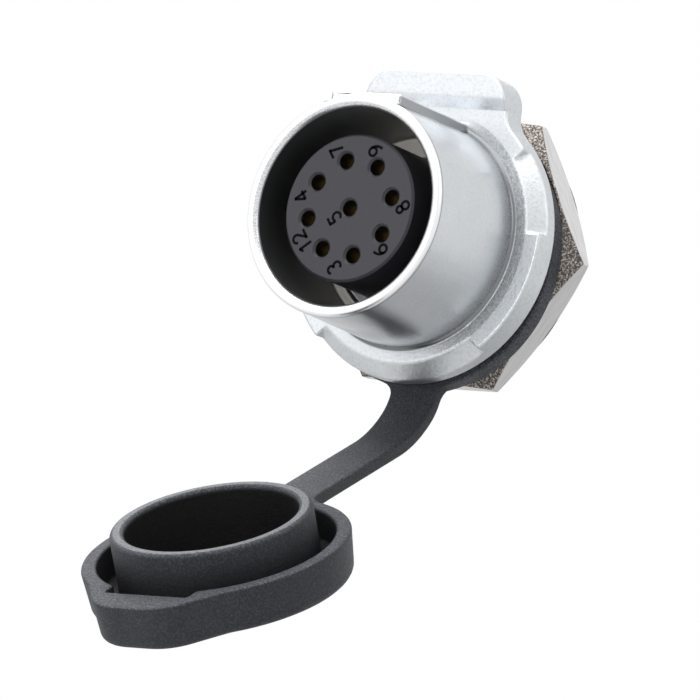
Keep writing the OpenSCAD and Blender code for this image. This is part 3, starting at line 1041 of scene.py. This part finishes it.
def thread_tree() -> GeometryTree:
    """Makes the tree of a screw thread: a ridge along a helix round Y that fades out at both ends.

    Returns:
        The tree.
    """
    names = ("Root radius", "Depth", "Pitch", "Start", "Length", "Fade in", "Fade out", "Thinnest")
    made = GeometryTree("thread_ridge", {name: "Float" for name in names} | {"Steps a turn": "Int"})
    graph = made.graph
    ridge_share = 0.8
    wedge_sides = 3
    pitch, length = made.given("Pitch"), made.given("Length")
    ridge = made.given("Depth") * ridge_share
    middle = made.given("Root radius") + made.given("Depth") - ridge
    helix = graph.node("GeometryNodeCurveSpiral", sockets={
        "Resolution": made.given("Steps a turn"), "Rotations": length / pitch,
        "Start Radius": middle, "End Radius": middle, "Height": length})
    upright = graph.node("GeometryNodeSetCurveNormal", {"mode": "Z_UP"}, {"Curve": helix})
    along = graph.node("GeometryNodeSplineParameter", output="Factor")
    fade = along.rise(0.0, made.given("Fade in")).least(along.fall(made.given("Fade out"), 1.0))
    faded = graph.node("GeometryNodeSetCurveRadius", sockets={
        "Curve": upright, "Radius": fade.most(made.given("Thinnest"))})
    wedge = graph.node("GeometryNodeCurvePrimitiveCircle", {"mode": "RADIUS"}, {
        "Resolution": wedge_sides, "Radius": ridge})
    shift = graph.node("ShaderNodeCombineXYZ", sockets={"Y": made.given("Start")})
    made.close(graph.node("GeometryNodeTransform", sockets={
        "Geometry": made.sweep(faded, wedge), "Translation": shift, "Rotation": (-math.pi / 2, 0.0, 0.0)}))
    return made


def stroke_tree() -> GeometryTree:
    """Makes the tree of flat strokes along the lines of a path that lies in the XY plane.

    Returns:
        The tree.
    """
    made = GeometryTree("flat_strokes", {"Path": "Object", "Width": "Float", "Thickness": "Float"})
    graph = made.graph
    upright = graph.node("GeometryNodeSetCurveNormal", {"mode": "Z_UP"}, {"Curve": made.path()})
    section = graph.node("GeometryNodeCurvePrimitiveQuadrilateral", {"mode": "RECTANGLE"}, {
        "Width": made.given("Width"), "Height": made.given("Thickness")})
    made.close(made.sweep(upright, section))
    return made


def bend_tree() -> GeometryTree:
    """Makes the tree that bends a flat moulding along a path.

    The moulding's Y runs along the path, X across it and Z off it. Each point keeps its place in the mould,
    in millimetres from the foot of the cap, as an attribute.

    Returns:
        The tree.
    """
    made = GeometryTree("bend_along_path", {
        "Path": "Object", "Path start": "Float", "Across": "Vector", "Cap foot": "Vector"})
    graph = made.graph
    flat = graph.node("GeometryNodeInputPosition")
    in_mould = graph.vector("SCALE", graph.vector("SUBTRACT", flat, made.given("Cap foot")), 1 / MM)
    kept = graph.node("GeometryNodeStoreNamedAttribute", {"data_type": "FLOAT_VECTOR", "domain": "POINT"}, {
        "Geometry": made.given("Geometry"), "Name": MOULD, "Value": in_mould})
    across, along, off = graph.split(flat)
    on_path = graph.node("GeometryNodeSampleCurve", {"mode": "LENGTH"}, {
        "Curves": made.path(), "Length": along - made.given("Path start")}, "Position")
    tangent = Sock(graph, on_path.socket.node.outputs["Tangent"])
    side = made.given("Across")
    outwards = graph.vector("SCALE", graph.vector("CROSS_PRODUCT", tangent, side), off)
    offset = graph.vector("ADD", graph.vector("SCALE", side, across), outwards)
    place = graph.vector("ADD", on_path, offset)
    made.close(graph.node("GeometryNodeSetPosition", sockets={"Geometry": kept, "Position": place}))
    return made


# Sub-assemblies

@dataclass
class Shell:
    """The zinc casting, with its edges softened and a thread on its shank."""

    edge_round: float = 0.26 * MM
    sharp_over: float = 34.0
    shank_from: float = -0.1 * MM
    wall_band: float = 0.03 * MM
    thread_mean_r: float = 9.7 * MM
    thread_root_r: float = 9.39 * MM
    thread_depth: float = 0.6 * MM
    thread_pitch: float = 1.0 * MM
    thread_gap: float = 0.25 * MM
    thread_fades: tuple[float, float] = (0.08, 0.94)
    thread_thinnest: float = 0.02
    thread_steps: int = 96
    finish: CastZinc = field(default_factory=CastZinc)

    def build(self) -> list[bpy.types.Object]:
        """Builds the casting and its thread.

        Returns:
            The two pieces, dressed and riding on the socket.
        """
        material = self.finish.material()
        body = add_object("shell_casting", self._cut_to_root(merged_copy("shell")), material)
        soften(body, self.edge_round, self.sharp_over)
        thread = add_object("shank_thread", bpy.data.meshes.new("shank_thread"), material)
        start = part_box("hex_nut")[1].y + self.thread_gap
        fade_in, fade_out = self.thread_fades
        thread_tree().apply(thread, {
            "Root radius": self.thread_root_r, "Depth": self.thread_depth, "Pitch": self.thread_pitch,
            "Start": start, "Length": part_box("shell")[1].y - self.thread_gap - start,
            "Fade in": fade_in, "Fade out": fade_out, "Thinnest": self.thread_thinnest,
            "Steps a turn": self.thread_steps, "Material": material})
        smooth(thread.data, self.sharp_over)
        for piece in (body, thread):
            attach(piece, Body.SOCKET.value)
        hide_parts("shell")
        return [body, thread]

    def _cut_to_root(self, mesh: bpy.types.Mesh) -> bpy.types.Mesh:
        """Draws the shank's plain wall in from the thread's mean radius to its root.

        Args:
            mesh: The casting's mesh, which is changed.

        Returns:
            The same mesh.
        """
        for vertex in mesh.vertices:
            radius = math.hypot(vertex.co.x, vertex.co.z)
            if abs(radius - self.thread_mean_r) < self.wall_band and vertex.co.y > self.shank_from:
                shrink = self.thread_root_r / radius
                vertex.co = (vertex.co.x * shrink, vertex.co.y, vertex.co.z * shrink)
        return mesh


@dataclass(frozen=True)
class Numeral:
    """A number on the face and how far it stands to the right of its hole and above it, in millimetres."""

    number: int
    right: float
    up: float


@dataclass
class Insulators:
    """The numbered insert in the mouth, and the insulator behind it, in millimetres."""

    numeral_h: float = 1.4
    stroke_w: float = 0.25
    stroke_t: float = 0.08
    proud: float = 0.02
    middle: int = 5
    top_pair: tuple[int, int] = (1, 2)
    numerals: tuple[Numeral, ...] = (
        Numeral(1, 1.15, 1.3), Numeral(2, -1.16, 1.48), Numeral(3, 0.07, 2.1),
        Numeral(4, -0.27, 2.04), Numeral(5, 0.02, 1.72), Numeral(6, -1.4, 0.7),
        Numeral(7, 1.43, 0.36), Numeral(8, -1.56, -0.62), Numeral(9, 1.5, -0.65))
    finish: MouldedInsulator = field(default_factory=MouldedInsulator)
    ink: NumeralInk = field(default_factory=NumeralInk)

    def build(self) -> list[bpy.types.Object]:
        """Dresses both insulators and lays the inked numerals into the insert's face.

        Returns:
            The insulators and the numerals.
        """
        material = self.finish.material()
        dressed = [dress(node, material) for node in ("contact_insert", "rear_insulator")]
        ink = self.ink.material()
        numerals = add_object("inked_numerals", bpy.data.meshes.new("inked_numerals"), ink)
        path = add_lines("numeral_lines", self._lines())
        stroke_tree().apply(numerals, {
            "Path": path, "Width": self.stroke_w, "Thickness": self.stroke_t, "Material": ink})
        discard(path)
        right, up, out = self._ways()
        level = self._hole(self.middle) + (self.proud - self.stroke_t / 2) * out
        turn = Matrix((right, up, out)).transposed().to_4x4()
        numerals.data.transform(Matrix.Scale(MM, 4) @ Matrix.Translation(level) @ turn)
        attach(numerals, Body.SOCKET.value)
        return [*dressed, numerals]

    def _hole(self, number: int) -> Vector:
        """Finds the middle of one contact hole, on the face of the insert.

        Args:
            number: The contact's number.

        Returns:
            The place in millimetres.
        """
        low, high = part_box(f"contact_{number}")
        middle = (low + high) / 2
        return Vector((middle.x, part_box("contact_insert")[0].y, middle.z)) / MM

    def _ways(self) -> tuple[Vector, Vector, Vector]:
        """Finds the ways that the numerals stand.

        Returns:
            Their way to the right, their way up and the way out of the face.
        """
        first, second = (self._hole(number) for number in self.top_pair)
        up = ((first + second) / 2 - self._hole(self.middle)).normalized()
        out = Vector((0.0, -1.0, 0.0))
        return up.cross(out), up, out

    def _lines(self) -> list[list[Vector]]:
        """Works out the middle lines of every stroke, flat round the middle hole.

        Returns:
            The lines, each a row of points.
        """
        right, up, _ = self._ways()
        lines = []
        for numeral in self.numerals:
            at = self._hole(numeral.number) - self._hole(self.middle)
            foot = Vector((at.dot(right) + numeral.right, at.dot(up) + numeral.up, 0.0))
            for stroke in DIGITS[numeral.number]:
                lines.append([foot + Vector((x, y, 0.0)) * self.numeral_h for x, y in stroke])
        return lines


@dataclass
class InnerMetal:
    """The gold contacts in their holes, and the spring ring that holds the insulators."""

    gold: GoldPlate = field(default_factory=GoldPlate)
    steel: SpringSteel = field(default_factory=SpringSteel)

    def build(self) -> list[bpy.types.Object]:
        """Dresses the contacts and the ring.

        Returns:
            Their objects.
        """
        gold = self.gold.material()
        contacts = [dress(f"contact_{number}", gold) for number in CONTACTS]
        return [*contacts, dress("retaining_ring", self.steel.material())]


@dataclass
class HexNut:
    """The hexagon nut, with softened edges."""

    edge_round: float = 0.12 * MM
    sharp_over: float = 25.0
    finish: NickelNut = field(default_factory=NickelNut)

    def build(self) -> list[bpy.types.Object]:
        """Builds the nut.

        Returns:
            The nut piece.
        """
        nut = add_object("softened_nut", merged_copy("hex_nut"), self.finish.material())
        soften(nut, self.edge_round, self.sharp_over)
        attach(nut, Body.NUT.value)
        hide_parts("hex_nut")
        return [nut]


@dataclass
class CapMoulding:
    """The rubber moulding: ring, strap and cap, made flat as in its mould and then bent along its path.

    In the flat state X runs across the strap, Y along it from the ring's middle, and Z off its outer face.
    """

    strap_w: float = 5.0 * MM
    strap_t: float = 1.2 * MM
    strap_edge: float = 0.22 * MM
    strap_fillet: float = 1.5 * MM
    strap_neck: float = 0.1 * MM
    strap_step: float = 0.3 * MM
    strap_sink: float = 0.62 * MM
    strap_thinner: float = 0.01 * MM
    root_r: float = 6.0 * MM
    root_turn: float = 36.0
    sweep_r: float = 14.0 * MM
    strap_turn: float = 60.0
    straight: float = 12.4 * MM
    divide_after_sweep: float = 4.0 * MM
    ring_r: float = 12.85 * MM
    ring_hole_r: float = 10.9 * MM
    ring_drop: float = 0.85 * MM
    ring_t: float = 1.8 * MM
    curve_from: float = 13.0 * MM
    path_spare: float = 1.0 * MM
    cap_lean: float = 32.0
    bend_to_cap: float = 14.55 * MM
    bend_reach: float = 2.3 * MM
    skirt_r: float = 12.15 * MM
    skirt_wall: float = 1.4 * MM
    skirt_h: float = 4.2 * MM
    skirt_draft: float = 0.3 * MM
    end_wall: float = 1.2 * MM
    cap_round: float = 1.0 * MM
    lip_round: float = 0.28 * MM
    floor_round: float = 0.3 * MM
    floor_inset: float = 0.9 * MM
    plug_r: float = 9.15 * MM
    plug_wall: float = 1.3 * MM
    plug_rise: float = 2.8 * MM
    plug_round: float = 0.5 * MM
    bump_w: float = 11.4 * MM
    bump_reach: float = 14.6 * MM
    bump_corner_r: float = 4.4 * MM
    bump_side_angle: float = -38.0
    bump_facings: int = 720
    bump_easing: int = 3
    pocket_half_w: float = 4.4 * MM
    pocket_reach: float = 11.35 * MM
    pocket_easing: int = 1
    around: int = 360
    edge_steps: int = 3
    lip_steps: int = 4
    plug_steps: int = 5
    cap_steps: int = 6
    sharp_over: float = 38.0

    def __post_init__(self) -> None:
        """Works out the path's lengths, the two hinges and the finish from the frame and the sizes."""
        hinges = {joint["name"]: joint for joint in frame["joints"]}
        self.forwards = Vector((0.0, -1.0, 0.0))
        self.across = Vector(hinges["strap_swing"]["axis"])
        self.down = self.across.cross(self.forwards)
        self.upper = Vector(hinges["strap_swing"]["pos_m"])
        self.lower = Vector(hinges["cap_tilt"]["pos_m"])
        self.ring_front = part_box("cap_ring")[0].y
        self.sweep_from = self.curve_from + self.root_r * math.radians(self.root_turn)
        self.sweep_to = self.sweep_from + self.sweep_r * math.radians(self.strap_turn - self.root_turn)
        self.bend_at = self.sweep_to + self.straight
        self.cap_at = self.bend_at + self.bend_to_cap
        self.divide = self.sweep_to + self.divide_after_sweep
        self.path_start = -self.ring_r - self.path_spare
        self.path_end = self.cap_at + self.bump_reach + self.path_spare
        self.cap_sink = self.skirt_h - self.strap_t / 2
        self.plug_top = self.skirt_h + self.plug_rise
        self.angles = [math.tau * i / self.around for i in range(self.around)]
        self.finish = MattRubber(
            cup_r=(self.plug_r - self.plug_wall) / MM, cup_floor=self.end_wall / MM,
            plug_r=self.plug_r / MM, plug_top=self.plug_top / MM,
            skirt_r=(self.skirt_r - self.skirt_wall) / MM, skirt_top=self.skirt_h / MM,
            ring_from=(self.cap_at - self.ring_r - self.ring_drop) / MM)

    def build(self) -> list[bpy.types.Object]:
        """Builds both halves of the moulding, which meet in the straight stretch of the strap.

        Returns:
            The ring with the upper strap, the cap with the lower strap, and the dressed seals.
        """
        material = self.finish.material()
        path = add_lines("moulding_path", [self._path()])
        tree = bend_tree()
        ring = add_object("ring_and_strap", self._ring(), material)
        join(ring, add_object("upper_strap", self._strap(self.ring_r, 1.0), material))
        cap = add_object("cap_and_strap", self._cap(), material)
        join(cap, add_object("lower_strap", self._strap(self.skirt_r, -1.0), material))
        for piece in (ring, cap):
            tree.apply(piece, {
                "Path": path, "Path start": self.path_start, "Across": tuple(self.across),
                "Cap foot": (0.0, self.cap_at, -self.cap_sink), "Material": material})
            smooth(piece.data, self.sharp_over)
        discard(path)
        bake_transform(ring)
        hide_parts("cap_ring", "cap_strap")
        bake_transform(cap)
        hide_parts("dust_cap")
        return [ring, cap, *(dress(node, material) for node in ("panel_gasket", "insert_seal"))]

    def _heading(self, turn: float) -> Vector:
        """Gives the way that the strap runs after it has turned forwards by an angle in degrees."""
        angle = math.radians(turn)
        return self.down * math.cos(angle) + self.forwards * math.sin(angle)

    def _path(self) -> list[Vector]:
        """Works out the middle line of the bent moulding.

        Returns:
            Its points, from above the ring to below the cap.
        """
        step = self.strap_step
        place = Vector((0.0, self.ring_front + self.strap_t / 2, 0.0)) + self.down * self.path_start
        points = []
        for i in range(int((self.path_end - self.path_start) / step) + 1):
            points.append(place)
            place = place + self._heading(self._turn(self.path_start + (i + 0.5) * step)) * step
        return points

    def _turn(self, along: float) -> float:
        """Gives how far the strap has turned forwards.

        Args:
            along: The length along it from the ring's middle.

        Returns:
            The angle in degrees.
        """
        if along < self.curve_from:
            return 0.0
        if along < self.sweep_from:
            return math.degrees((along - self.curve_from) / self.root_r)
        if along < self.sweep_to:
            return self.root_turn + math.degrees((along - self.sweep_from) / self.sweep_r)
        return self.strap_turn if along < self.bend_at else 90.0 - self.cap_lean

    def _ring(self) -> bpy.types.Mesh:
        """Makes the flat ring, with rounded edges.

        Returns:
            The ring's mesh.
        """
        front = self.strap_t / 2
        low, high = (self.ring_hole_r, front - self.ring_t), (self.ring_r, front)
        section = rounded_box(low, high, self.strap_edge, self.edge_steps)
        rings = []
        for angle in self.angles:
            x, y = math.sin(angle), math.cos(angle)
            rings.append([Vector((r * x, self.ring_drop + r * y, off)) for r, off in section])
        return loft("ring", rings, wrap=True)

    def _strap(self, root: float, way: float) -> bpy.types.Mesh:
        """Makes one half of the flat strap, from the dividing line to inside the round edge that it leaves.

        Args:
            root: The radius of that edge: the ring's or the skirt's.
            way: 1 for the ring, and -1 for the cap.

        Returns:
            The half's mesh.
        """
        middle = self.ring_drop if way > 0 else self.cap_at
        reach = abs(self.divide - middle)
        inside = root - self.strap_sink
        half_t = self.strap_t / 2 - self.strap_thinner
        count = math.ceil((reach - inside) / self.strap_step)
        rings = []
        for i in range(count + 1):
            out = inside + (reach - inside) * i / count
            half_w = self._half_width(out, root)
            section = rounded_box((-half_w, -half_t), (half_w, half_t), self.strap_edge, self.edge_steps)
            rings.append([Vector((x, middle + way * out, off)) for x, off in section])
        return loft("strap", rings)

    def _half_width(self, out: float, root: float) -> float:
        """Gives half of the strap's width, which grows in a fillet towards the round edge that it leaves.

        Args:
            out: The distance from the middle of that edge.
            root: The radius of that edge.

        Returns:
            Half of the width.
        """
        fillet_x = self.strap_w / 2 + self.strap_fillet
        fillet_out = math.sqrt((root + self.strap_fillet) ** 2 - fillet_x ** 2)
        sunk = max(fillet_out - out, 0.0)
        return fillet_x - math.sqrt(max(self.strap_fillet ** 2 - sunk ** 2, self.strap_neck ** 2))

    def _bump_outline(self, angle: float) -> float:
        """Gives how far the bump over the key reaches in one direction.

        Args:
            angle: The direction's angle from X, in radians.

        Returns:
            The reach from the cap's axis.
        """
        corner = Vector((self.bump_w / 2 - self.bump_corner_r, self.bump_corner_r - self.bump_reach))
        side = math.radians(self.bump_side_angle)
        side_way = Vector((-math.sin(side), math.cos(side)))
        inner = corner - corner.dot(side_way) * side_way
        pegs = [Vector((way * at.x, at.y)) for at in (corner, inner) for way in (-1, 1)]
        least_share = 0.1
        reach = math.inf
        for i in range(self.bump_facings):
            facing = math.tau * i / self.bump_facings
            share = math.cos(facing - angle)
            if share > least_share:
                normal = Vector((math.cos(facing), math.sin(facing)))
                reach = min(reach, (max(peg.dot(normal) for peg in pegs) + self.bump_corner_r) / share)
        return reach

    def _pocket_outline(self, angle: float) -> float:
        """Gives how far the space inside the skirt's wall reaches, with the pocket in the bump.

        Args:
            angle: The direction's angle from X, in radians.

        Returns:
            The reach from the cap's axis.
        """
        wall = self.skirt_r - self.skirt_wall
        down = -math.sin(angle)
        if down <= 0:
            return wall
        sideways = abs(math.cos(angle))
        beside = self.pocket_half_w / sideways if sideways > 0 else math.inf
        return max(wall, min(beside, self.pocket_reach / down))

    def _eased(self, radii: list[float], passes: int) -> list[float]:
        """Eases the corners of an outline by a mean of three.

        Args:
            radii: The outline, a closed row of radii.
            passes: How often the mean is taken.

        Returns:
            The eased row.
        """
        for _ in range(passes):
            after = radii[1:] + radii[:1]
            radii = [(radii[i - 1] + 2 * radii[i] + after[i]) / 4 for i in range(len(radii))]
        return radii

    def _cap_section(self, outer: float, inner: float) -> list[Point]:
        """Gives the cap's half section at one angle.

        Args:
            outer: The outer radius of the skirt's wall there.
            inner: The inner radius of the skirt's wall there.

        Returns:
            Points of radius and height, from under the floor round to inside the cup.
        """
        foot = outer - self.skirt_draft - self.cap_round
        lip, lip_h = self.lip_round, self.skirt_h - self.lip_round
        low, low_h = self.floor_round, self.end_wall + self.floor_round
        plug, plug_h = self.plug_round, self.plug_top - self.plug_round
        core = self.plug_r - self.plug_wall
        section = [(foot - self.cap_round, 0.0)]
        section += arc((foot, self.cap_round), self.cap_round, -90.0, 0.0, self.cap_steps)
        section += arc((outer - lip, lip_h), lip, 0.0, 90.0, self.lip_steps)
        section += arc((inner + lip, lip_h), lip, 90.0, 180.0, self.lip_steps)
        section += arc((inner - low, low_h), low, 0.0, -90.0, self.edge_steps)
        section += arc((self.plug_r + low, low_h), low, -90.0, -180.0, self.edge_steps)
        section += arc((self.plug_r - plug, plug_h), plug, 0.0, 90.0, self.plug_steps)
        section += arc((core + plug, plug_h), plug, 90.0, 180.0, self.plug_steps)
        section += arc((core - low, low_h), low, 0.0, -90.0, self.edge_steps)
        section.append((core - self.floor_inset, self.end_wall))
        return section

    def _cap(self) -> bpy.types.Mesh:
        """Makes the flat cap: floor, skirt with its bump and pocket, and plug ring.

        Returns:
            The cap's mesh.
        """
        outer = self._eased([max(self.skirt_r, self._bump_outline(a)) for a in self.angles], self.bump_easing)
        inner = self._eased([self._pocket_outline(a) for a in self.angles], self.pocket_easing)
        columns = []
        for i, angle in enumerate(self.angles):
            x, y = math.cos(angle), math.sin(angle)
            section = self._cap_section(outer[i], inner[i])
            columns.append([Vector((r * x, self.cap_at - r * y, h - self.cap_sink)) for r, h in section])
        return loft("cap", list(zip(*columns)))


# Studio

@dataclass(frozen=True)
class Lamp:
    """A square soft lamp, placed by the camera's own right, up and back ways."""

    name: str
    way: tuple[float, float, float]
    distance: float
    size: float
    level: float


@dataclass
class Studio:
    """Camera, soft lamps, pale floor and white surroundings."""

    eye: Vector = field(default_factory=lambda: Vector((325.50, -495.53, -93.03)) * MM)
    forward: Vector = field(default_factory=lambda: Vector((-0.5516, 0.8228, 0.1367)))
    top: Vector = field(default_factory=lambda: Vector((-0.0680, -0.2077, 0.9758)))
    lens: float = 332.7
    near: float = 0.01
    far: float = 50.0
    aim: Vector = field(default_factory=lambda: Vector((0.0, -8.0, -12.0)) * MM)
    floor_z: float = -0.16
    floor_half: float = 4.0
    sky: float = 0.22
    ground: float = 0.10
    horizon: float = 0.35
    shine: float = 0.90
    shine_below: float = 0.02
    shine_behind: float = 0.42
    dim_height: Point = (-0.6, -0.05)
    dim_from: Point = (-0.8, 0.0)
    dim_behind: Point = (-0.1, 0.6)
    lamps: tuple[Lamp, ...] = (
        Lamp("left", (-0.87, 0.34, 0.36), 0.5, 0.50, 0.13),
        Lamp("top", (-0.15, 0.95, 0.05), 0.5, 0.65, 0.9),
        Lamp("back", (0.1, 0.75, -0.65), 0.5, 0.25, 0.26),
        Lamp("mouth", (-0.53, 0.21, 0.82), 0.6, 0.20, 0.12),
        Lamp("right", (0.8, 0.5, 0.35), 0.6, 0.30, 0.08),
    )

    def camera(self) -> None:
        """Makes the camera of the photograph's view."""
        data = bpy.data.cameras.new("view")
        data.lens = self.lens
        data.clip_start = self.near
        data.clip_end = self.far
        made = place_object("view", data)
        made.matrix_world = Matrix.Translation(self.eye) @ self._axes().to_4x4()
        bpy.context.scene.camera = made

    def _axes(self) -> Matrix:
        """Works out the ways of the camera.

        Returns:
            Its right, up and back ways as the columns of a matrix.
        """
        back = -self.forward.normalized()
        right = self.top.cross(back).normalized()
        return Matrix((right, back.cross(right), back)).transposed()

    def light(self) -> None:
        """Makes the lamps, the floor and the surroundings."""
        axes = self._axes()
        for lamp in self.lamps:
            data = bpy.data.lights.new(lamp.name, "AREA")
            data.size = lamp.size
            data.energy = lamp.level * math.pi ** 2 * lamp.distance ** 2
            way = (axes @ Vector(lamp.way)).normalized()
            turn = way.to_track_quat("Z", "Y").to_matrix().to_4x4()
            made = place_object(lamp.name, data)
            made.matrix_world = Matrix.Translation(self.aim + way * lamp.distance) @ turn
        self._floor()
        self._surroundings()
        bpy.context.scene.view_settings.view_transform = "Standard"

    def _floor(self) -> None:
        """Lays the pale floor."""
        half = self.floor_half
        corners = [(-half, -half), (half, -half), (half, half), (-half, half)]
        mesh = bpy.data.meshes.new("floor")
        mesh.from_pydata([(x, y, self.floor_z) for x, y in corners], [], [(0, 1, 2, 3)])
        floor = add_object("floor", mesh, PaleFloor().material())
        floor.visible_glossy = False

    def _surroundings(self) -> None:
        """Makes a world that is white to the eye and lights the object softly from above."""
        world = bpy.data.worlds.new("surroundings")
        world.use_nodes = True
        bpy.context.scene.world = world
        graph = Graph(world.node_tree)
        _, back, height = graph.split(graph.node("ShaderNodeTexCoord", output="Generated"))
        soft = self.ground + (self.sky - self.ground) * height.rise(-self.horizon, self.horizon)
        below = height.fall(*self.dim_height) * back.rise(*self.dim_from)
        behind = self.shine_behind * back.rise(*self.dim_behind)
        shine = self.shine - below * (self.shine_below + behind)
        seen = graph.node("ShaderNodeLightPath", output="Is Camera Ray")
        rays = seen.socket.node.outputs
        clear = seen.most(Sock(graph, rays["Is Transmission Ray"]))
        glossy = Sock(graph, rays["Is Glossy Ray"])
        level = clear.most(glossy * shine + (1 - glossy) * soft)
        colour = graph.tint(level, BLACK, WHITE)
        lit = graph.node("ShaderNodeBackground", sockets={"Color": colour, "Strength": 1.0})
        graph.node("ShaderNodeOutputWorld", sockets={"Surface": lit})


def main() -> None:
    """Builds the studio and every sub-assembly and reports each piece."""
    logging.basicConfig(level=logging.INFO, format="%(name)s: %(message)s")
    studio = Studio()
    studio.camera()
    studio.light()
    for assembly in (Shell(), Insulators(), HexNut(), CapMoulding(), InnerMetal()):
        for piece in assembly.build():
            LOG.info("%s: %d faces", piece.name, len(piece.data.polygons))


if __name__ == "__main__":
    main()
